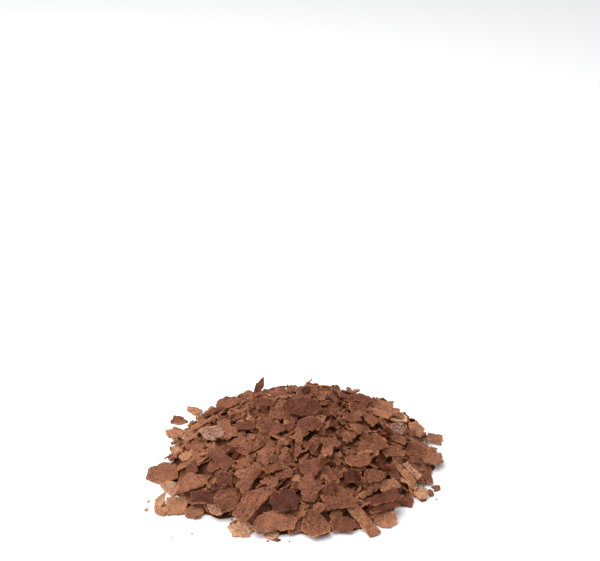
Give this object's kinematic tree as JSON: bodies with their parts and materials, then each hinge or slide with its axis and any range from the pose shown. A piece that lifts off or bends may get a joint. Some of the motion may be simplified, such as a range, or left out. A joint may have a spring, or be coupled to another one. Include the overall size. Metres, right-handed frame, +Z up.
{
  "type": "heap of broken lace crepe cookie flakes",
  "caption": "Loose heap of crisp, thin, broken lace crepe flakes lying on a surface, with an uneven outline and curled, pitted shards.",
  "frame": {"origin": "on the surface that the heap lies on, under the middle of the heap", "axes": "+Z up, +X to the right and -Y towards the viewer of the picture"},
  "size_m": [0.0918, 0.0806, 0.0181],
  "materials": {
    "crisp_wafer": "matt, crisp baked wafer with cocoa"
  },
  "bodies": {
    "root": {"lace_crepe_heap": "crisp_wafer"}
  },
  "joints": []
}
